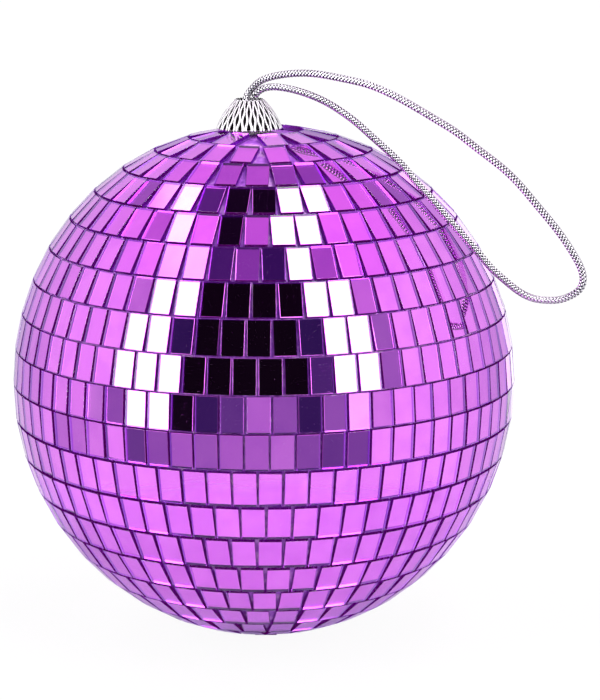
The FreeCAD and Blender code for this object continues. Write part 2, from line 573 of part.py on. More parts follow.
def cord_curve():
    """The loop's two strands lie side by side at the crown and come together at the far end."""
    turn = CORD_LINE.index(max(CORD_LINE))
    points = []
    for i, (distance, height) in enumerate(CORD_LINE):
        side = dim("strand_offset") * math.exp(-max(distance, 0) / dim("strand_closing"))
        points.append(in_loop(distance, height, side if i < turn else -side))
    curve = Part.BSplineCurve()
    curve.interpolate(points)
    return curve


def nearest(curve, target, low, high):
    """Arc length, from low to high, where the cord passes closest to a point of its plane."""
    def miss(arc):
        point = curve.value(curve.parameterAtDistance(arc))
        return math.hypot(point.dot(ALONG) - target[0], point.z - target[1])

    return min((low + (high - low) * i / SEARCH_STEPS for i in range(SEARCH_STEPS + 1)),
               key=miss)


def strand(curve, name, start, end):
    """A round length of cord between two arc lengths of the loop's middle line."""
    first, last = curve.parameterAtDistance(start), curve.parameterAtDistance(end)
    path = doc.addObject("Part::Feature", name + "Path")
    path.Shape = Part.Wire([curve.toShape(first, last)])
    section = bind(doc.addObject("Part::Circle", name + "Section"), Radius="Dims.cord_radius")
    direction = curve.tangent(first)[0]
    section.Placement = Placement(curve.value(first), Rotation(Vector(0, 0, 1), direction))
    sweep = doc.addObject("Part::Sweep", name)
    sweep.Sections, sweep.Spine = [section], (path, ["Edge1"])
    sweep.Solid, sweep.Frenet = True, False
    return sweep


def make_cord():
    """Three runs of two strands with a gap at each bend, then the end of the loop."""
    curve = cord_curve()
    length = curve.length()
    upper_start, lower_end = dim("cord_trim"), length - dim("cord_trim")
    for name, label, upper_point, lower_point, gap in CORD_RUNS:
        upper_bend = nearest(curve, upper_point, 0, length / 2)
        lower_bend = nearest(curve, lower_point, length / 2, length)
        half_gap = dim(gap) / 2
        strands = [strand(curve, name + "Upper", upper_start, upper_bend - half_gap),
                   strand(curve, name + "Lower", lower_bend + half_gap, lower_end)]
        keep(compound(name, strands), label)
        upper_start, lower_end = upper_bend + half_gap, lower_bend - half_gap
    keep(strand(curve, "CordD", upper_start, lower_end), "cord_loop_end")


def make_cord_stubs():
    """Both strands drop through the crown to the knot."""
    stubs = []
    for name, side in (("Left", -1), ("Right", 1)):
        distance = dim("stub_shift") + side * dim("stub_spread")
        stubs.append(cylinder("CordStub" + name, "Dims.cord_radius",
                              "Dims.stub_top - Dims.stub_bottom",
                              in_loop(distance, dim("stub_bottom"), 0)))
    keep(compound("CordStubs", stubs), "cord_stubs")


def make_knot():
    keep(ellipsoid("Knot", "Dims.knot_half_height", "Dims.knot_radius",
                   up(dim("knot_centre"))), "cord_knot")


def make_washer():
    """A washer round the knot, just under the crown's lip."""
    bottom = -dim("crown_lip") - dim("washer_play") - dim("washer_thickness")
    disc = cylinder("WasherDisc", "Dims.washer_radius", "Dims.washer_thickness", up(bottom))
    hole = cylinder("WasherHole", "Dims.washer_hole",
                    "Dims.washer_thickness + 2 * Dims.overrun", up(bottom - OVERRUN))
    keep(combine("Part::Cut", "Washer", disc, hole), "knot_washer")


# ---------------------------------------------------------------- build, check and write
make_core_upper()
make_core_lower()
make_core_glue()
make_bed_upper()
make_bed_lower()
for row_number, (row_lat, row_longitudes) in enumerate(zip(ROW_MIDDLES, TILE_ROWS), start=1):
    make_tile_row(row_number, row_lat, row_longitudes)
make_south_tiles()
make_plug()
make_bead()
make_cap()
make_cord()
make_cord_stubs()
make_knot()
make_washer()

doc.recompute()
for obj in doc.Objects:
    if any(word in ("Invalid", "Error") for word in obj.State):
        raise RuntimeError("%s (%s) failed: %s" % (obj.Name, obj.Label, obj.State))
for obj in subparts:
    if obj.Shape.isNull() or not obj.Shape.isValid() or not obj.Shape.Solids:
        raise RuntimeError("%s has no valid shape" % obj.Label)
for obj in subparts:
    obj.Shape.exportStep("parts/%s.step" % obj.Label)
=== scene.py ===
"""Mirror ball ornament: purple glass tiles on a foam ball, a silver openwork cap, a braided loop.

Sizes are in mm unless said otherwise. The crown of the cap is at the origin with its axis on z,
the ball hangs below it, and the cord loop has fallen over to +x, a little towards the camera,
which looks along +y.
"""
import math

import bpy
import numpy as np
from mathutils import Matrix, Vector


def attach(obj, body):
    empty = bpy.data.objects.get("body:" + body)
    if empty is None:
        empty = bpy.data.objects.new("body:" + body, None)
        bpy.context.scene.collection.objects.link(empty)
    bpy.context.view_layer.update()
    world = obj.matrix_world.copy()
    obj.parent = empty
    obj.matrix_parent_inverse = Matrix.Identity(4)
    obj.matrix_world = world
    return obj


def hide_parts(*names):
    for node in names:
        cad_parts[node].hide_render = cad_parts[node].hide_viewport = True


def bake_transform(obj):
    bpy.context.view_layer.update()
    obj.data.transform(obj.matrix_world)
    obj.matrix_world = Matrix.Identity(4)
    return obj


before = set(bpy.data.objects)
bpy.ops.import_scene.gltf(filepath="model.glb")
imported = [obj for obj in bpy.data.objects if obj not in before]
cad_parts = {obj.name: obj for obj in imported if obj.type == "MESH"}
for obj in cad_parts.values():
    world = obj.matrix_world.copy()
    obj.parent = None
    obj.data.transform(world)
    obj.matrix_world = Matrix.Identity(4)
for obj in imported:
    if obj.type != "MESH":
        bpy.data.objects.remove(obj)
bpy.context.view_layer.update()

MM = 0.001
TURN = 2 * np.pi
CENTRE = np.array([4.1, 0.0, -84.1])        # middle of the ball
scene = bpy.context.scene
scene.view_settings.view_transform = "Standard"
scene.view_settings.look = "None"
rng = np.random.default_rng(7)


# ------------------------------------------------------------------ shader graphs
class Graph:
    """A node tree, with short calls for the nodes that many shaders share."""

    MIX_SOCKETS = {"RGBA": (6, 7, 2), "FLOAT": (2, 3, 0)}     # input A, input B, output

    def __init__(self, owner):
        owner.use_nodes = True
        self.tree = owner.node_tree

    def feed(self, socket, value):
        """Links an output to the input socket, or sets the socket's own value."""
        if isinstance(value, bpy.types.NodeSocket):
            self.tree.links.new(value, socket)
        elif socket.type == "RGBA":
            socket.default_value = (*value, 1.0)
        else:
            socket.default_value = value

    def fill(self, node, **inputs):
        for name, value in inputs.items():
            self.feed(node.inputs[name.replace("_", " ")], value)

    def node(self, kind, **inputs):
        node = self.tree.nodes.new("ShaderNode" + kind)
        self.fill(node, **inputs)
        return node

    def math(self, operation, *operands):
        node = self.node("Math")
        node.operation = operation
        for socket, value in zip(node.inputs, operands):
            self.feed(socket, value)
        return node.outputs[0]

    def multiply(self, a, b):
        return self.math("MULTIPLY", a, b)

    def linear(self, value, times, plus):
        return self.math("MULTIPLY_ADD", value, times, plus)

    def smooth(self, value, off, on):
        """0 on the off side, 1 on the on side, smooth between."""
        node = self.node("MapRange", Value=value, From_Min=min(off, on), From_Max=max(off, on),
                         To_Min=0.0 if off < on else 1.0, To_Max=1.0 if off < on else 0.0)
        node.interpolation_type = "SMOOTHSTEP"
        return node.outputs["Result"]

    def band(self, value, start, end, soft):
        """1 between start and end, with edges soft either way."""
        return self.multiply(self.smooth(value, off=start - soft, on=start + soft),
                             self.smooth(value, off=end + soft, on=end - soft))

    def mix(self, factor, a, b, kind="RGBA"):
        node = self.node("Mix")
        node.data_type = kind
        socket_a, socket_b, output = self.MIX_SOCKETS[kind]
        for index, value in ((0, factor), (socket_a, a), (socket_b, b)):
            self.feed(node.inputs[index], value)
        return node.outputs[output]

    def mix_shader(self, factor, a, b):
        node = self.node("MixShader")
        for socket, value in zip(node.inputs, (factor, a, b)):
            self.feed(socket, value)
        return node.outputs[0]

    def coords(self, kind="Object"):
        return self.node("TexCoord").outputs[kind]

    def noise(self, scale, detail=3.0, roughness=0.5, vector=None):
        return self.node("TexNoise", Scale=scale, Detail=detail, Roughness=roughness,
                         Vector=vector or self.coords()).outputs["Fac"]

    def wave(self, direction, **inputs):
        node = self.node("TexWave", **inputs)
        node.bands_direction = direction
        return node.outputs["Fac"]

    def ramp(self, value, *stops):
        """Colour ramp; each stop is (position, colour)."""
        node = self.node("ValToRGB", Fac=value)
        elements = node.color_ramp.elements
        while len(elements) < len(stops):
            elements.new(0.5)
        for element, (position, colour) in zip(elements, stops):
            element.position = position
            element.color = (*colour, 1.0)
        return node.outputs["Color"]

    def bump(self, height, strength, distance):
        return self.node("Bump", Strength=strength, Distance=distance,
                         Height=height).outputs["Normal"]

    def ridge(self):
        """How far a point stands up on its wire or yarn: 1 on the crest; the wire and yarn
        shaders paint shade from it.
        """
        node = self.node("Attribute")
        node.attribute_name = "ridge"
        return node.outputs["Fac"]


class Surface(Graph):
    """The graph of a new material, round its Principled shader."""

    def __init__(self, name):
        self.material = bpy.data.materials.new(name)
        super().__init__(self.material)
        self.shader = self.tree.nodes["Principled BSDF"]

    def set(self, **inputs):
        self.fill(self.shader, **inputs)


# ------------------------------------------------------------------ materials
def tile_glass():
    """Clear float glass over the mirror coat, with a few dusty or rubbed specks."""
    g = Surface("tile_glass")
    g.set(Roughness=0.0, IOR=1.5, Transmission_Weight=1.0)
    speck = g.smooth(g.noise(scale=5200.0, detail=2.0, roughness=0.4), off=0.735, on=0.77)
    g.set(Base_Color=g.mix(speck, (0.97, 0.87, 0.99), (0.80, 0.66, 0.92)),
          Roughness=g.multiply(speck, 0.35))
    return g.material


def tile_edge(name, frosted):
    """Wall of the glass: frosted sides give off a violet emission, painted light for the light
    that has come in behind them; clean ones mirror what the coat shows, with a faint painted
    violet emission. From outside every wall gives off a faint painted violet light that
    lightens the gaps between tiles. Backfacing is the wall seen from inside."""
    g = Surface(name)
    grain = g.noise(scale=2600.0, detail=4.0, roughness=0.6)
    geometry = g.node("NewGeometry").outputs
    inside, per_tile = geometry["Backfacing"], geometry["Random Per Island"]
    outer = g.ramp(grain, (0.35, (0.045, 0.004, 0.17)), (0.50, (0.13, 0.020, 0.33)),
                   (0.66, (0.30, 0.060, 0.58)))
    if frosted:
        inner = g.ramp(per_tile, (0.0, (0.20, 0.06, 0.34)), (1.0, (0.55, 0.28, 0.70)))
        # painted light: violet emission of the frosted wall seen from inside, varied by tile
        painted_glow = g.ramp(per_tile, (0.0, (0.13, 0.028, 0.30)), (0.5, (0.24, 0.065, 0.43)),
                      (1.0, (0.42, 0.15, 0.62)))
        inside_polish = -0.4
    else:
        inner = g.ramp(per_tile, (0.0, (0.62, 0.42, 0.78)), (1.0, (0.88, 0.72, 0.95)))
        # painted light: faint emission of the clean wall seen from inside
        painted_glow = g.ramp(per_tile, (0.0, (0.02, 0.002, 0.05)), (1.0, (0.06, 0.010, 0.12)))
        inside_polish = -0.92
    roughness = g.multiply(g.linear(grain, times=0.3, plus=0.10),
                           g.linear(inside, times=inside_polish, plus=1.0))
    # painted light: the emission below lights every wall, inside and out, though none is a lamp
    g.set(Metallic=0.92, Specular_Tint=(0.50, 0.20, 0.80), Roughness=roughness,
          Base_Color=g.mix(inside, outer, inner),
          Emission_Color=g.mix(inside, (0.05, 0.001, 0.036), painted_glow), Emission_Strength=1.0)
    return g.material


def tile_coat():
    """The purple mirror coat on the back of the glass, a little different on each tile."""
    g = Surface("tile_mirror_coat")
    per_tile = g.node("NewGeometry").outputs["Random Per Island"]
    base = g.ramp(per_tile, (0.0, (0.745, 0.175, 0.86)), (0.5, (0.81, 0.205, 0.92)),
                  (1.0, (0.855, 0.235, 0.955)))
    cloud = g.smooth(g.noise(scale=160.0, detail=2.0), off=0.35, on=0.75)
    g.set(Base_Color=g.mix(cloud, base, g.mix(0.5, base, (0.69, 0.145, 0.85))),
          Metallic=1.0, Roughness=0.0)
    return g.material


def tile_rim():
    """Unsilvered rim round the coat, dark with adhesive seen through the glass."""
    g = Surface("tile_rim")
    g.set(Base_Color=g.ramp(g.noise(scale=1500.0),
                            (0.3, (0.10, 0.012, 0.24)), (0.7, (0.34, 0.07, 0.54))),
          Roughness=0.35, Metallic=0.3)
    return g.material


def tile_adhesive():
    """Lilac adhesive that holds the tiles: lumpy and glossy. Its colour follows the lumps:
    painted light makes the raised ones pale pink, painted shade the low ground deep violet.
    """
    g = Surface("tile_adhesive")
    place = g.coords()
    lumps = g.noise(scale=260.0, detail=5.0, roughness=0.6, vector=place)
    grain = g.noise(scale=1300.0, vector=place)
    height = g.math("ADD", lumps, g.multiply(grain, 0.5))
    # painted light and shade: pale on the raised lumps, deep violet in the low ground between
    # them
    g.set(Base_Color=g.ramp(lumps, (0.30, (0.26, 0.045, 0.50)), (0.52, (0.50, 0.14, 0.74)),
                            (0.72, (0.88, 0.48, 0.92))),
          Roughness=0.4, Coat_Weight=0.15, Coat_Roughness=0.15, Specular_IOR_Level=0.25,
          Normal=g.bump(height, strength=0.7, distance=0.0006))
    return g.material


def silver_cast():
    """Silver-plated casting: soft bright wires with faint grain; painted shade takes them grey to
    near black down their flanks.
    """
    g = Surface("silver_cast")
    grain = g.noise(scale=1800.0, detail=4.0, roughness=0.55)
    # painted shade: the colour falls from bright on the crest to near black down each wire's
    # flanks
    base = g.ramp(g.ridge(), (0.35, (0.02, 0.02, 0.022)), (0.60, (0.15, 0.15, 0.155)),
                  (0.82, (0.52, 0.52, 0.525)), (0.98, (0.90, 0.90, 0.90)))
    g.set(Base_Color=g.mix(g.smooth(grain, off=0.52, on=0.78), base, (0.40, 0.40, 0.41)),
          Metallic=0.85, Specular_Tint=(0.5, 0.5, 0.52),
          Roughness=g.linear(grain, times=0.25, plus=0.26),
          Normal=g.bump(grain, strength=0.15, distance=0.0001))
    return g.material


def cap_painted_shade():
    """Near-black skin behind the wires: painted shade, a dark sheet standing in for the shadow
    inside the cap seen through the slits.
    """
    g = Surface("cap_painted_shade")
    # painted shade: near black, for the shadow inside the cap
    g.set(Base_Color=g.ramp(g.noise(scale=1400.0, detail=4.0),
                            (0.3, (0.003, 0.003, 0.003)), (0.8, (0.014, 0.012, 0.013))),
          Metallic=0.0, Roughness=0.8, Specular_IOR_Level=0.15)
    return g.material


def silver_yarn():
    """Silver metallic yarn of fine drawn filaments; painted shade darkens it down each yarn's
    flanks, between filaments and where one yarn dips under the next.
    """
    g = Surface("silver_yarn")
    uv_map = g.node("UVMap")
    uv_map.uv_map = "yarn"
    filaments = g.wave("Y", Scale=2.2, Distortion=1.0, Detail=2.0, Detail_Scale=3.0,
                       Vector=uv_map.outputs["UV"])
    grain = g.noise(scale=1500.0, roughness=0.6)
    # painted shade: colour goes near black where the yarn stands low, on its flanks, between
    # filaments and under the crossing yarn
    height = g.math("ADD", g.ridge(), g.linear(filaments, times=0.16, plus=-0.08))
    base = g.ramp(height, (0.50, (0.006, 0.005, 0.008)), (0.70, (0.13, 0.125, 0.15)),
                  (0.84, (0.66, 0.65, 0.68)), (0.97, (0.96, 0.95, 0.97)))
    g.set(Base_Color=g.mix(g.smooth(grain, off=0.60, on=0.75), base, (0.26, 0.25, 0.29)),
          Metallic=0.95, Specular_Tint=(0.40, 0.38, 0.45),
          Roughness=g.linear(grain, times=0.14, plus=0.08),
          Normal=g.bump(filaments, strength=0.3, distance=0.00006))
    return g.material


def cord_core():
    # near black: painted shade for the gaps between the yarns, where the core shows
    g = Surface("cord_core")
    g.set(Base_Color=g.ramp(g.noise(scale=3000.0, detail=2.0),
                            (0.3, (0.010, 0.009, 0.012)), (0.8, (0.04, 0.035, 0.05))),
          Roughness=0.75, Specular_IOR_Level=0.2)
    return g.material


def foam():
    """Expanded polystyrene: fused white beads."""
    g = Surface("foam")
    bead = g.node("TexVoronoi", Scale=330.0, Vector=g.coords()).outputs["Distance"]
    # painted shade: greyer towards the bead edges, where the bump sinks between beads
    g.set(Base_Color=g.ramp(bead, (0.0, (0.95, 0.95, 0.94)), (0.8, (0.84, 0.84, 0.84))),
          Roughness=0.75, Normal=g.bump(bead, strength=-0.5, distance=0.0006))
    return g.material


def silver_knot():
    """The knot carries the same yarn, as a fine criss-cross of its own."""
    g = Surface("silver_knot")
    weave = g.multiply(*(g.wave(direction, Scale=420.0, Distortion=2.0, Vector=g.coords())
                         for direction in ("DIAGONAL", "Z")))
    # painted shade: dark where the criss-cross sinks
    g.set(Base_Color=g.ramp(weave, (0.05, (0.10, 0.10, 0.12)), (0.6, (0.72, 0.71, 0.74))),
          Metallic=0.9, Roughness=0.3, Normal=g.bump(weave, strength=0.6, distance=0.0002))
    return g.material


def plain(name, dark, light, roughness, metallic=0.0, transmission=0.0, scale=700.0):
    """A nearly even material, mottled between two colours."""
    g = Surface(name)
    mottle = g.noise(scale=scale, detail=4.0)
    g.set(Base_Color=g.ramp(mottle, (0.3, dark), (0.7, light)),
          Metallic=metallic, Transmission_Weight=transmission,
          Roughness=g.linear(mottle, times=0.15, plus=roughness),
          Normal=g.bump(mottle, strength=0.2, distance=0.0002))
    return g.material


GLASS, COAT, RIM = tile_glass(), tile_coat(), tile_rim()
EDGE = tile_edge("tile_edge", frosted=True)
CLEAN_EDGE = tile_edge("tile_edge_clean", frosted=False)
BED, CAP, CAP_SHADE = tile_adhesive(), silver_cast(), cap_painted_shade()
YARN, CORE, FOAM, KNOT = silver_yarn(), cord_core(), foam(), silver_knot()
GLUE = plain("clear_glue", dark=(0.80, 0.76, 0.66), light=(0.92, 0.90, 0.84), roughness=0.18,
             transmission=0.4)
PLASTIC = plain("white_plastic", dark=(0.86, 0.86, 0.84), light=(0.93, 0.93, 0.91),
                roughness=0.35)
STEEL = plain("steel", dark=(0.52, 0.52, 0.54), light=(0.70, 0.70, 0.71), roughness=0.25,
              metallic=1.0, scale=1500.0)


# ------------------------------------------------------------------ meshes
class Parts:
    """Gathers loose parts into one mesh."""

    def __init__(self):
        self.verts, self.faces, self.slots, self.crest = [], [], [], []
        self.count = 0

    def add(self, verts, faces, slots, crest=()):
        """slots: material slot of each face; crest: the ridge value of each point."""
        self.verts.append(verts)
        self.faces += [tuple(i + self.count for i in face) for face in faces]
        self.slots += slots
        self.crest += crest
        self.count += len(verts)

    def build(self, name, materials, smooth=None):
        """Makes the object; smooth is one flag for all faces or one each."""
        mesh = bpy.data.meshes.new(name)
        verts = np.vstack(self.verts) * MM
        mesh.from_pydata([tuple(v) for v in verts], [], self.faces)
        for material in materials:
            mesh.materials.append(material)
        mesh.polygons.foreach_set("material_index", np.asarray(self.slots, np.int32))
        if smooth is not None:
            mesh.polygons.foreach_set("use_smooth", np.full(len(self.faces), smooth, bool))
        mesh.update()
        ob = bpy.data.objects.new(name, mesh)
        scene.collection.objects.link(ob)
        return ob

    def mark_ridge(self, ob):
        attribute = ob.data.attributes.new("ridge", "FLOAT", "POINT")
        attribute.data.foreach_set("value", np.asarray(self.crest, np.float32))


def unit(vectors):
    return vectors / np.linalg.norm(vectors, axis=1)[:, None]


def tangents(path):
    return unit(np.gradient(path, axis=0))


def outward_frame(path, outward):
    """Side and out directions across a path, out leaning to the outward vectors."""
    along = tangents(path)
    side = unit(np.cross(along, outward))
    return side, np.cross(side, along)


def tube(path, axes, section):
    """Sweeps a closed section of (side, out) points, or one section for each station, along
    a path and closes both ends, which are the last two faces."""
    section = np.asarray(section, float)
    stations, around = len(path), section.shape[-2]
    side, out = axes
    verts = path[:, None] + section[..., :1] * side[:, None] + section[..., 1:] * out[:, None]
    faces = []
    for i in range(stations - 1):
        for j in range(around):
            a, b = i * around + j, i * around + (j + 1) % around
            faces.append((a, b, b + around, a + around))
    faces.append(tuple(range(around - 1, -1, -1)))
    faces.append(tuple((stations - 1) * around + j for j in range(around)))
    return verts.reshape(-1, 3), faces


def circle(points):
    """Angles evenly round a circle."""
    return np.linspace(0, TURN, points + 1)[:-1]


# ------------------------------------------------------------------ glass tiles
TILE_MATERIALS = [GLASS, EDGE, COAT, RIM, CLEAN_EDGE]
ON_GLASS, ON_EDGE, ON_COAT, ON_RIM, ON_CLEAN = range(5)
GLASS_SHARE = 0.66          # of the tile's thickness; the rest is backing
CHIP_CHANCE = 0.10
CHIP_SLANT = np.array([0.9, 0.7])      # how far a chip draws in across and up the tile
CHIP_RINGS = ((0, 1.0, 0.60), (1, 0.9, 0.35), (2, 0.6, 0.35))   # ring, share drawn in, sunk


def node_boxes(name):
    """Each loose rectangular block of a CAD node: middle and three edge vectors, shortest
    first."""
    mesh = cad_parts[name].data
    corners = np.zeros(len(mesh.vertices) * 3)
    mesh.vertices.foreach_get("co", corners)
    corners = corners.reshape(-1, 3) / MM
    known, ids = {}, np.zeros(len(corners), int)
    for i, corner in enumerate(np.round(corners, 3)):
        ids[i] = known.setdefault(tuple(corner), len(known))
    points = np.zeros((len(known), 3))
    points[ids] = corners
    parent = list(range(len(known)))

    def root(i):
        while parent[i] != i:
            parent[i] = parent[parent[i]]
            i = parent[i]
        return i

    for polygon in mesh.polygons:
        first, *others = [ids[v] for v in polygon.vertices]
        for other in others:
            parent[root(first)] = root(other)
    groups = {}
    for i in range(len(known)):
        groups.setdefault(root(i), []).append(i)
    boxes = []
    for group in groups.values():
        box = points[group]
        if len(box) != 8:
            raise RuntimeError("%s holds a block with %d corners" % (name, len(box)))
        near = np.argsort(np.linalg.norm(box - box[0], axis=1))
        boxes.append((box.mean(0), *(box[near[i]] - box[0] for i in (1, 2, 4))))
    return boxes


def octagon(width, height, cut, z):
    """Rectangle with nipped corners, anticlockwise seen from +z, from the foot of its +x side."""
    a, b = width / 2, height / 2
    return [(a, -b + cut, z), (a, b - cut, z), (a - cut, b, z), (-a + cut, b, z),
            (-a, b - cut, z), (-a, -b + cut, z), (-a + cut, -b, z), (a - cut, -b, z)]


def tile_slab(width, height, thick, arris, chip):
    """One tile with its face at z = 0: the glass down to the coat, then the painted backing.
    A chip is (side, depth), the side counted anticlockwise from +x."""
    glass = GLASS_SHARE * thick
    rings = [   # taken off width and height, corner cut, depth below the face
        (2 * arris, 0.05, 0.0), (0.7 * arris, 0.06, 0.28 * arris), (0.0, 0.07, arris),
        (0.0, 0.07, glass), (0.04, 0.06, glass),
        (0.02, 0.06, glass + 0.012), (0.02, 0.06, thick - 0.03), (0.08, 0.06, thick)]
    verts = np.array([point for inset, cut, depth in rings
                      for point in octagon(width - inset, height - inset, cut, -depth)])
    if chip:
        side, size = chip
        for ring, inward, sunk in CHIP_RINGS:
            for i in (8 * ring + 2 * side, 8 * ring + 2 * side + 1):
                verts[i, :2] -= np.sign(verts[i, :2]) * size * inward * CHIP_SLANT
                verts[i, 2] -= size * sunk
    faces, slots = [tuple(range(8))], [ON_GLASS]

    def wall(ring, slot):
        for i in range(8):
            a, b = ring * 8 + i, ring * 8 + (i + 1) % 8
            faces.append((a, a + 8, b + 8, b))
            # the top and bottom walls of the glass are the clean ones
            slots.append(ON_CLEAN if slot == ON_EDGE and i in (2, 6) else slot)

    for ring, slot in ((0, ON_GLASS), (1, ON_GLASS), (2, ON_EDGE), (3, ON_RIM)):
        wall(ring, slot)
    faces.extend([tuple(range(39, 31, -1)), tuple(range(40, 48))])
    slots.extend([ON_COAT, ON_RIM])
    for ring in (5, 6):
        wall(ring, ON_RIM)
    faces.append(tuple(range(63, 55, -1)))
    slots.append(ON_RIM)
    return verts, faces, slots


def build_tiles(node, name):
    parts = Parts()
    for middle, *edges in node_boxes(node):
        thick, width, height = (np.linalg.norm(edge) for edge in edges)
        z = edges[0] / thick
        if z @ (middle - CENTRE) < 0:
            z = -z
        y = edges[2] / height
        if y[2] < -1e-3:
            y = -y
        x = np.cross(y, z)
        chip = None
        if rng.random() < CHIP_CHANCE:
            chip = int(rng.integers(0, 4)), float(rng.uniform(0.10, 0.30))
        arris = float(rng.uniform(0.05, 0.09))
        verts, faces, slots = tile_slab(width, height, thick, arris, chip)
        parts.add(middle + z * (thick / 2) + verts @ np.array([x, y, z]), faces, slots)
    ob = parts.build(name, TILE_MATERIALS)
    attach(ob, "ball")
    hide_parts(node)


for row in range(1, 21):
    build_tiles("tile_row_%02d" % row, "tiles_row_%02d" % row)
build_tiles("south_pole_tiles", "tiles_south_pole")


# ------------------------------------------------------------------ CAD pieces kept as they are
for node_name, material in (
        ("adhesive_bed_upper", BED), ("adhesive_bed_lower", BED), ("foam_core_upper", FOAM),
        ("foam_core_lower", FOAM), ("core_glue_film", GLUE), ("cap_glue_bead", GLUE),
        ("hanger_plug", PLASTIC), ("knot_washer", STEEL), ("cord_knot", KNOT)):
    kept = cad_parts[node_name].data
    kept.materials.clear()
    kept.materials.append(material)
    kept.polygons.foreach_set("material_index", np.zeros(len(kept.polygons), np.int32))


# ------------------------------------------------------------------ filigree cap
CAP_HEIGHT, MOUTH_RADIUS, CROWN_RADIUS, CAP_BULGE = 8.4, 9.75, 4.25, 0.62
SLITS = 22                  # slits in a ring
WIRES = 2 * SLITS
WIRE_ANGLE = TURN / WIRES
FIRST_TOUCH, TOUCH_GAP = 0.10, 0.283    # where wires meet, as shares of the cap's height
WIRE_STATIONS, ARCH_STATIONS, SKIN_SEGMENTS = 66, 15, 2 * WIRES
WIRE_RING = circle(12)
# unit outline of a wire: broad rounded crest, narrower foot
WIRE_OUTLINE = np.array([(math.cos(a) * (1.0 if math.sin(a) > -0.1 else 0.86), math.sin(a))
                         for a in WIRE_RING])
WIRE_LIFT = [0.5 + 0.5 * math.sin(a) for a in WIRE_RING]


def flare(down):
    """Radius of the cap at a share of the way down from crown to mouth."""
    return (CROWN_RADIUS + (MOUTH_RADIUS - CROWN_RADIUS) * down
            + CAP_BULGE * np.sin(np.pi * down))


def add_wire(parts, i):
    down = np.linspace(0.035, 1.045, WIRE_STATIONS)
    sign = 1 if i % 2 == 0 else -1
    wobble = 0.03 * math.sin(i * 2.4)
    sway = 0.185 * np.cos(np.pi * (down - FIRST_TOUCH) / TOUCH_GAP) * sign \
        + wobble * np.sin(5 * down + i)
    angle = (i + 0.5 + sway) * WIRE_ANGLE
    radius = flare(np.minimum(down, 1.0)) - 0.30 + 0.05 * np.sin(6 * down + i * 1.7)
    path = np.stack([radius * np.cos(angle), radius * np.sin(angle), -CAP_HEIGHT * down], 1)
    outward = np.stack([np.cos(angle), np.sin(angle), np.full(WIRE_STATIONS, 0.5)], 1)
    # both half sizes taper off past the mouth
    half_width = 0.325 * WIRE_ANGLE * flare(down) * np.clip((1.075 - down) / 0.06, 0.45, 1)
    half_depth = (0.24 + 0.07 * down) * np.clip((1.07 - down) / 0.05, 0.4, 1)
    sections = WIRE_OUTLINE * np.stack([half_width, half_depth], 1)[:, None]
    verts, faces = tube(path, outward_frame(path, outward), sections)
    parts.add(verts, faces, [0] * len(faces), WIRE_LIFT * WIRE_STATIONS)


def add_arch(parts, i):
    """Small arch that closes a slit of the first ring at the crown."""
    sweep = np.linspace(-0.25, np.pi + 0.25, ARCH_STATIONS)
    angle = (2 * i + 0.60 * np.cos(sweep)) * WIRE_ANGLE
    radius = CROWN_RADIUS - 0.30 - 0.05 * np.sin(sweep)
    path = np.stack([radius * np.cos(angle), radius * np.sin(angle),
                     -0.48 + 0.36 * np.sin(sweep)], 1)
    outward = np.stack([np.cos(angle), np.sin(angle), np.zeros_like(sweep)], 1)
    verts, faces = tube(path, outward_frame(path, outward), WIRE_OUTLINE * (0.19, 0.24))
    parts.add(verts, faces, [0] * len(faces), WIRE_LIFT * ARCH_STATIONS)


def add_shade_skin(parts):
    """The near-black skin behind the wires, a painted-shade sheet, with a rolled lip at the
    crown.
    """
    profile = [(flare(a) - 0.56 - 0.16 * a, -CAP_HEIGHT * a)
               for a in np.linspace(0.985, 0.07, 14)]
    profile += [(3.72, -0.42), (3.42, -0.46), (3.38, -0.9)]
    profile += [(flare(a) - 0.80 - 0.14 * a, -CAP_HEIGHT * a)
                for a in np.linspace(0.16, 0.95, 12)]
    verts = [(r * math.cos(a), r * math.sin(a), z)
             for a in circle(SKIN_SEGMENTS) for r, z in profile]
    size = len(profile)
    faces = []
    for k in range(SKIN_SEGMENTS):
        here, there = k * size, (k + 1) % SKIN_SEGMENTS * size
        for j in range(size):
            following = (j + 1) % size
            faces.append((here + j, here + following, there + following, there + j))
    parts.add(np.array(verts), faces, [1] * len(faces), [0.0] * len(verts))


def build_cap():
    """Openwork of wavy wires that touch their left and their right neighbour by turns, which
    leaves rings of tall slits, each ring staggered against the next."""
    parts = Parts()
    for i in range(WIRES):
        add_wire(parts, i)
    for i in range(SLITS):
        add_arch(parts, i)
    add_shade_skin(parts)
    ob = parts.build("filigree_cap_wires", [CAP, CAP_SHADE], smooth=True)
    parts.mark_ridge(ob)
    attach(ob, "ball")
    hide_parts("filigree_cap")


build_cap()

# ------------------------------------------------------------------ cord
LOOP_TURN = math.radians(-21.0)             # about z, the upright plane the loop lies in
ALONG = np.array([math.cos(LOOP_TURN), math.sin(LOOP_TURN), 0.0])
ACROSS = np.array([-math.sin(LOOP_TURN), math.cos(LOOP_TURN), 0.0])
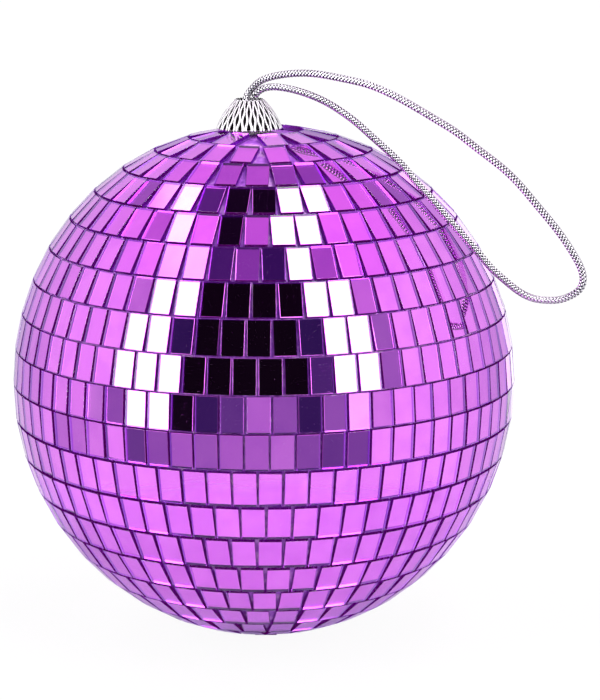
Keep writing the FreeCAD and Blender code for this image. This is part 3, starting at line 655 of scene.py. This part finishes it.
# middle line in the loop's own plane: distance from the cap's axis, height above the crown
LINE = [(-1.2, -0.95), (-1.13, 0.22), (0.35, 2.66), (2.93, 5.1), (7.27, 6.78),
        (12.72, 7.78), (17.72, 8.13), (23.11, 7.82), (29.49, 6.88), (36.57, 5.62), (43.59, 3.21),
        (52.01, -0.76), (58.41, -4.16), (63.91, -7.15), (69.86, -11.32), (76.59, -15.87),
        (82.09, -20.42), (87.15, -25.79), (91.77, -30.81), (96.01, -35.8), (99.82, -41.25),
        (101.95, -45.15), (102.44, -48.36), (101.67, -50.43), (99.25, -52.24), (95.99, -53.88),
        (92.26, -54.34), (88.11, -54.21), (83.49, -52.44), (78.81, -49.06), (74.56, -45.64),
        (71.14, -41.76), (67.26, -37.87), (64.26, -34.77), (60.41, -30.9), (56.54, -26.58),
        (51.78, -21.92), (48.76, -18.4), (45.83, -15.65), (40.87, -11.53), (37.35, -8.69),
        (33.8, -5.81), (29.52, -2.98), (24.52, -0.17), (19.53, 1.83), (14.5, 3.17), (9.82, 3.82),
        (6.19, 3.69), (3.27, 2.41), (1.8, 0.33), (1.7, -0.95)]
ROUGH_STEP, STEP = 0.25, 0.13               # spacing of stations before and after easing
PITCH, LAY_RADIUS, WEAVE_RISE = 4.1, 0.79, 0.12   # one turn of a yarn, its middle, its swing
YARNS_EACH_WAY = 4
CORE_RADIUS = 0.66
YARN_HALF_WIDTH, YARN_HALF_DEPTH = 0.325, 0.18
YARN_RING = circle(10)
YARN_OUTLINE = [(YARN_HALF_WIDTH * math.cos(a), YARN_HALF_DEPTH * math.sin(a))
                for a in YARN_RING]
YARN_LIFT = [0.5 + 0.5 * math.sin(a) for a in YARN_RING]
CORE_OUTLINE = [(CORE_RADIUS * math.cos(a), CORE_RADIUS * math.sin(a)) for a in circle(12)]


def run_along(points):
    """Distance along a line to each of its points."""
    return np.r_[0, np.cumsum(np.linalg.norm(np.diff(points, axis=0), axis=1))]


def even_out(points, step):
    """The line resampled evenly, about every step, and the distance to each sample."""
    run = run_along(points)
    even = np.linspace(0, run[-1], int(round(run[-1] / step)) + 1)
    return np.stack([np.interp(even, run, column) for column in points.T], 1), even


def spline(points):
    """Natural cubic through the points, sampled three times for every rough step."""
    knots = run_along(points)
    count, gap = len(points), np.diff(knots)
    system = np.zeros((count, count))
    target = np.zeros(points.shape)
    system[0, 0] = system[-1, -1] = 1
    for i in range(1, count - 1):
        system[i, i - 1:i + 2] = gap[i - 1], 2 * (gap[i - 1] + gap[i]), gap[i]
        target[i] = 6 * ((points[i + 1] - points[i]) / gap[i]
                         - (points[i] - points[i - 1]) / gap[i - 1])
    bend = np.linalg.solve(system, target)
    places = np.linspace(0, knots[-1], int(knots[-1] / ROUGH_STEP * 3))
    k = np.clip(np.searchsorted(knots, places) - 1, 0, count - 2)
    left, gone = (knots[k + 1] - places)[:, None], (places - knots[k])[:, None]
    width = gap[k][:, None]
    return (bend[k] * left ** 3 + bend[k + 1] * gone ** 3) / (6 * width) \
        + (points[k] / width - bend[k] * width / 6) * left \
        + (points[k + 1] / width - bend[k + 1] * width / 6) * gone


def eased(line, amount):
    """Moves each inner point towards the middle of its neighbours."""
    result = line.copy()
    result[1:-1] += amount * (line[2:] + line[:-2] - 2 * line[1:-1])
    return result


def from_ends(distance):
    return np.minimum(distance, distance[-1] - distance)


def loop_line():
    """The middle line in the loop's plane, and the distance along it."""
    line, _ = even_out(spline(np.array(LINE)), ROUGH_STEP)
    # ease out unevenness along the run of the loop, less where it leaves the crown
    strength = np.clip((from_ends(np.arange(len(line)) * ROUGH_STEP) - 5) / 12, 0, 1)
    for _ in range(45):
        line = eased(line, 0.45 * strength[1:-1, None])
    line, distance = even_out(line, STEP)
    for _ in range(6):
        line = eased(line, 0.4)
    return line, distance


def strand_offset():
    """Parts the strands near the crown: the outgoing one to +ACROSS, the other to -ACROSS."""
    reach, height = flat.T
    offset = -0.75 * np.exp(-np.maximum(reach, 0) / 25.0) \
        * np.clip((np.arange(len(flat)) - turn) / 290.0, -1, 1)
    # none where the ends go down into the cap
    return offset * np.where(from_ends(distance) < 60, np.clip((height + 1.0) / 2.5, 0, 1), 1.0)


def carried_frame(path):
    """Two directions across the path, carried along it without twist."""
    along = tangents(path)
    first = np.zeros_like(along)
    previous = ACROSS
    for i, direction in enumerate(along):
        across = previous - direction * (previous @ direction)
        previous = first[i] = across / np.linalg.norm(across)
    return first, np.cross(along, first)


flat, distance = loop_line()
turn = int(np.argmax(flat[:, 0]))           # station farthest from the cap
cord = flat[:, :1] * ALONG + flat[:, 1:] * np.array([0, 0, 1.0]) \
    + strand_offset()[:, None] * ACROSS
FIRST_AXIS, SECOND_AXIS = carried_frame(cord)


def yarn_uvs(faces):
    """Along the cord in mm, and round the yarn from 0 to 1, for each corner of each face."""
    around = len(YARN_OUTLINE)
    uvs = []
    for face in faces:
        if len(face) == 4:
            start = face[0] % around
            uvs += [((j // around) * STEP, (start + side) / around)
                    for side, j in zip((0, 1, 1, 0), face)]
        else:
            uvs += [(0.0, (j % around) / around) for j in face]
    return uvs


def braid(spans, name):
    """Eight flat yarns plaited one over, one under on a near-black core that paints the shade in
    the gaps between them, for parts of the cord.
    """
    parts, uvs = Parts(), []
    for start, end in spans:
        ids = np.arange(start, end + 1)
        axes = FIRST_AXIS[ids], SECOND_AXIS[ids]
        along = ids * STEP
        for hand in (1, -1):
            over = hand * np.cos(TURN * YARNS_EACH_WAY * along / PITCH)
            radius = LAY_RADIUS + WEAVE_RISE * over
            # the ridge value drops where a yarn dips under the others; the yarn shader turns it
            # into painted shade
            crest = [lift * (0.80 + 0.20 * rise) for rise in over for lift in YARN_LIFT]
            for k in range(YARNS_EACH_WAY):
                angle = hand * TURN * along / PITCH + k * TURN / YARNS_EACH_WAY
                outward = np.cos(angle)[:, None] * axes[0] + np.sin(angle)[:, None] * axes[1]
                path = cord[ids] + radius[:, None] * outward
                verts, faces = tube(path, outward_frame(path, outward), YARN_OUTLINE)
                parts.add(verts, faces, [0] * len(faces), crest)
                uvs += yarn_uvs(faces)
        verts, faces = tube(cord[ids], axes, CORE_OUTLINE)
        parts.add(verts, faces, [1] * len(faces), [0.0] * len(verts))
        uvs += [(0.0, 0.0)] * sum(len(face) for face in faces)
    # only the end faces, which are not quads, stay flat
    ob = parts.build(name, [YARN, CORE], smooth=[len(face) == 4 for face in parts.faces])
    layer = ob.data.uv_layers.new(name="yarn")
    layer.data.foreach_set("uv", np.asarray(uvs, np.float32).ravel())
    parts.mark_ridge(ob)
    return ob


def station(reach, start, end):
    """The station closest to this distance out, within a part of the cord."""
    return start + int(np.argmin(np.abs(flat[start:end, 0] - reach)))


# where the parts meet, on the outgoing strand and on the returning one
out_1, out_2, out_3 = (station(reach, 0, turn) for reach in (4.4, 25.0, 56.0))
back_1, back_2, back_3 = (station(reach, turn, len(flat)) for reach in (5.0, 23.0, 48.0))
# name, spans of stations, the two joints, a pivot, slope in degrees, length before and
# length after, CAD nodes replaced
CORD_PARTS = [
    ("cord_braid_crown", [(0, out_1), (back_1, len(flat) - 1)], ("cord_base", "cord_root"),
     ((-0.6, 1.6), 68, 1.2, 2.2), ("cord_stubs",)),
    ("cord_braid_near", [(out_1, out_2), (back_2, back_1)], ("cord_root", "cord_near"),
     ((10.0, 7.35), 5, 4.0, 4.5), ("cord_at_crown",)),
    ("cord_braid_mid", [(out_2, out_3), (back_3, back_2)], ("cord_near", "cord_mid"),
     ((40.0, 4.55), -32, 9.0, 10.0), ("cord_near_run",)),
    ("cord_braid_end", [(out_3, back_3)], ("cord_mid", "cord_end"),
     ((72.0, -12.85), -42, 10.0, 11.0), ("cord_mid_run", "cord_loop_end")),
]
for name, spans, joints, blend, replaced in CORD_PARTS:
    part = braid(spans, name)
    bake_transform(part)
    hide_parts(*replaced)


# ------------------------------------------------------------------ floor
BALL_RADIUS, FOOT_REACH, FLOOR_GAP = 75.0, 1.031, 0.15    # reach is in ball radii
FLOOR_Z = (CENTRE[2] - BALL_RADIUS * FOOT_REACH - FLOOR_GAP) * MM


def floor_material():
    """White sheet; the ball's mirrored rays see it dimmer, a painted shade, with a faint painted
    violet light right under the ball, and past its edge the studio. Distances here are in metres
    from under the ball's middle."""
    g = Surface("floor")
    pale = g.ramp(g.noise(scale=60.0, detail=4.0),
                  (0.3, (0.92, 0.92, 0.92)), (0.7, (0.95, 0.95, 0.95)))
    ray = g.node("LightPath").outputs
    geometry = g.node("NewGeometry").outputs
    offset = g.node("VectorMath")
    offset.operation = "SUBTRACT"
    g.feed(offset.inputs[0], geometry["Position"])
    g.feed(offset.inputs[1], tuple(CENTRE * MM))
    x, y, _ = g.node("SeparateXYZ", Vector=offset.outputs[0]).outputs
    radius = g.math("SQRT", g.math("ADD", g.multiply(x, x), g.multiply(y, y)))
    mirrored = g.math("MAXIMUM", ray["Is Glossy Ray"], ray["Is Transmission Ray"])
    mirrored = g.multiply(mirrored, g.math("SUBTRACT", 1.0, ray["Is Camera Ray"]))
    # painted shade: away from under the ball the floor seen in the mirrors is darker
    painted_mirror_shade = g.multiply(mirrored, g.smooth(radius, off=0.030, on=0.085))
    # painted light: an emission, seen only in the mirrors, for the light that the ball's foot
    # throws back on the floor
    near = g.multiply(mirrored, g.smooth(radius, off=0.060, on=0.020))
    g.set(Roughness=0.9, Specular_IOR_Level=0.2,
          Base_Color=g.mix(painted_mirror_shade, pale, (0.70, 0.70, 0.735)),
          Emission_Color=(0.62, 0.50, 1.0), Emission_Strength=g.multiply(near, 0.15))
    opened = g.multiply(mirrored, g.smooth(radius, off=0.148, on=0.160))
    opened = g.math("MAXIMUM", opened, geometry["Backfacing"])
    # overexposed to the eye: only the shade right under the ball stays
    lifted = g.mix_shader(g.multiply(ray["Is Camera Ray"], 0.94), g.shader.outputs[0],
                          g.node("Emission").outputs[0])
    surface = g.mix_shader(opened, lifted, g.node("BsdfTransparent").outputs[0])
    g.fill(g.tree.nodes["Material Output"], Surface=surface)
    return g.material


bpy.ops.mesh.primitive_circle_add(vertices=96, radius=9.0, fill_type="NGON",
                                  location=(CENTRE[0] * MM, 0, FLOOR_Z))
floor = bpy.context.object
floor.name = "floor"
floor.data.materials.append(floor_material())


# ------------------------------------------------------------------ studio
# Cards of the studio as (from, to) azimuth and elevation in degrees, brightness, edge softness.
# Azimuth 0 looks from the ball towards the camera and grows to +x. Later cards cover earlier.
CARDS = [
    (168, 181, 6, 20, 0.60, 2), (-181, -168, 6, 20, 0.66, 2),
    (-112, -89, -24, -13, 0.66, 3), (-89, -77, -24, -13, 0.86, 2), (-76, -64, -11, -2, 0.30, 1.5),
    (134, 150, 26, 48, 0.44, 3), (131, 150, 11, 24, 0.76, 3), (-145, -131, 33, 47, 0.44, 3),
    (-166, -150, 56, 70, 0.45, 3), (151, 167, -14, 16, 1.7, 2),
    (-66, 50, -27, -12, 0.52, 2), (-66, -54, -27, -12, 0.17, 2), (-54, -43, -27, -12, 0.36, 2),
    (-32, -20, -27, -12, 0.40, 2), (3, 15, -27, -12, 0.60, 2), (15, 27, -27, -12, 0.30, 2),
    (27, 38, -27, -12, 0.17, 2), (38, 50, -27, -12, 0.25, 2),
    (-44, 38, -12, 1, 0.34, 1.5), (-44, -19, -12, 1.5, 0.008, 1.5), (-30, -21, -11, -4, 0.05, 1),
    (-19, -8, -12, 0, 0.14, 1.5), (-8, 4, -12, 0, 0.56, 1.5), (15, 27, -12, 0, 0.045, 1.5),
    (38, 50, -12, -1, 1.9, 1.5), (50, 60, -12, -1, 0.84, 1.5),
    (55, 67, 2, 33, 0.42, 1.5), (55, 66, 33, 44, 0.75, 2), (-79, -70, 28, 40, 0.66, 2),
    (-45, 29.5, 2, 52, 0.034, 1.2), (-36, 20, 3, 52, 0.006, 3), (21, 29.5, 2, 16, 0.09, 1.5),
    (-78, -63.5, -12, 0.5, 0.36, 1.5), (-63.5, -37.5, -10.5, 2, 6.0, 1.0),
    (-71, -37.5, 1.5, 14, 6.0, 1.0), (-70, -43, 13, 49, 6.0, 1.0),
    (29.5, 54.5, 0.5, 52, 6.5, 1.0),
]
CARD_END_SOFTNESS = 1.2     # of the cards' upper and lower edges, in degrees
# The part overhead, in a plane: (from, to) along +x and towards the camera, as shares of the
# height, then brightness and edge softness.
TOP_CARDS = [
    (-0.30, 0.03, -0.66, -0.36, 0.60, 0.03), (0.03, 0.33, -0.66, -0.36, 0.38, 0.03),
    (0.33, 0.50, -0.90, -0.60, 0.80, 0.04), (-0.90, -0.67, -0.30, -0.05, 0.66, 0.04),
    (0.42, 0.60, 0.34, 0.55, 0.50, 0.03), (-0.37, 0.11, -0.30, 0.80, 0.010, 0.02),
    (-0.37, -0.25, -0.30, 0.00, 0.13, 0.03), (-0.41, -0.27, 0.40, 0.70, 0.075, 0.03),
    (-0.12, 0.035, 0.16, 0.28, 0.72, 0.015), (-0.20, -0.02, 0.46, 0.66, 0.30, 0.03),
    (0.115, 0.38, -0.32, 0.66, 6.5, 0.012), (-0.68, -0.42, -0.70, 0.05, 4.5, 0.03),
    (-0.86, -0.46, 0.22, 0.55, 2.7, 0.04), (-0.02, 0.115, 0.44, 0.80, 0.045, 0.02),
]


def build_studio():
    """White studio with tall softboxes either side of a dark opening, drawn by direction."""
    scene.world = bpy.data.worlds.new("studio")
    g = Graph(scene.world)
    x, y, z = g.node("SeparateXYZ", Vector=g.coords("Generated")).outputs
    to_camera = g.multiply(y, -1.0)
    azimuth = g.multiply(g.math("ARCTAN2", x, to_camera), 180 / math.pi)
    elevation = g.multiply(g.math("ARCSINE", z), 180 / math.pi)
    height = g.math("MAXIMUM", z, 0.2)
    top_x, top_y = g.math("DIVIDE", x, height), g.math("DIVIDE", to_camera, height)
    overhead = g.smooth(elevation, off=49.0, on=52.5)

    # the white walls fall off a little towards the back and below
    back = g.smooth(g.math("ABSOLUTE", azimuth), off=92.0, on=138.0)
    above = g.smooth(elevation, off=-75.0, on=-30.0)
    level = g.multiply(g.linear(back, times=-0.19, plus=1.14),
                       g.linear(above, times=0.2, plus=0.8))
    # dimmer where the sheet behind the ball curves up out of the floor
    curve = g.multiply(g.band(elevation, start=-13.0, end=0.0, soft=1.5),
                       g.smooth(g.math("ABSOLUTE", azimuth), off=80.0, on=96.0))
    level = g.multiply(level, g.linear(curve, times=-0.14, plus=1.0))
    for left, right, bottom, top, brightness, soft in CARDS:
        mask = g.multiply(g.band(azimuth, left, right, soft),
                          g.band(elevation, bottom, top, CARD_END_SOFTNESS))
        level = g.mix(mask, level, brightness, "FLOAT")
    for left, right, far, near, brightness, soft in TOP_CARDS:
        mask = g.multiply(g.band(top_x, left, right, soft), g.band(top_y, far, near, soft))
        level = g.mix(g.multiply(mask, overhead), level, brightness, "FLOAT")
    # the camera itself sees plain white
    camera_ray = g.node("LightPath").outputs["Is Camera Ray"]
    level = g.mix(camera_ray, level, 1.0, "FLOAT")

    # shade turns violet, and more so overhead
    cool = g.math("MAXIMUM", level, g.math("POWER", level, 0.73))
    blue = g.mix(g.smooth(level, off=0.004, on=0.03), level, cool, "FLOAT")
    less = g.multiply(g.smooth(elevation, off=26.0, on=56.0), g.smooth(level, off=2.4, on=1.3))
    green = g.multiply(level, g.linear(less, times=-0.42, plus=0.99))
    colour = g.node("CombineColor", Red=level, Green=green, Blue=blue).outputs[0]
    g.fill(g.tree.nodes["Background"], Strength=1.0,
           Color=g.mix(camera_ray, colour, (1.0, 1.0, 1.0)))


build_studio()

# ------------------------------------------------------------------ camera, in metres
CAMERA_PLACE = (0.0149, -0.73028, 0.0780)
VIEW = Vector((0.0, 0.978557, -0.205978))
UP_HINT = Vector((0.000847, 0.205978, 0.978556))

lens = bpy.data.cameras.new("camera")
lens.sensor_width = 36.0
lens.lens = 127.43
lens.clip_start, lens.clip_end = 0.05, 30.0
camera = bpy.data.objects.new("camera", lens)
scene.collection.objects.link(camera)
to_right = VIEW.cross(UP_HINT).normalized()
up = to_right.cross(VIEW).normalized()
rotation = Matrix((to_right, up, -VIEW)).transposed().to_4x4()
camera.matrix_world = Matrix.Translation(CAMERA_PLACE) @ rotation
scene.camera = camera
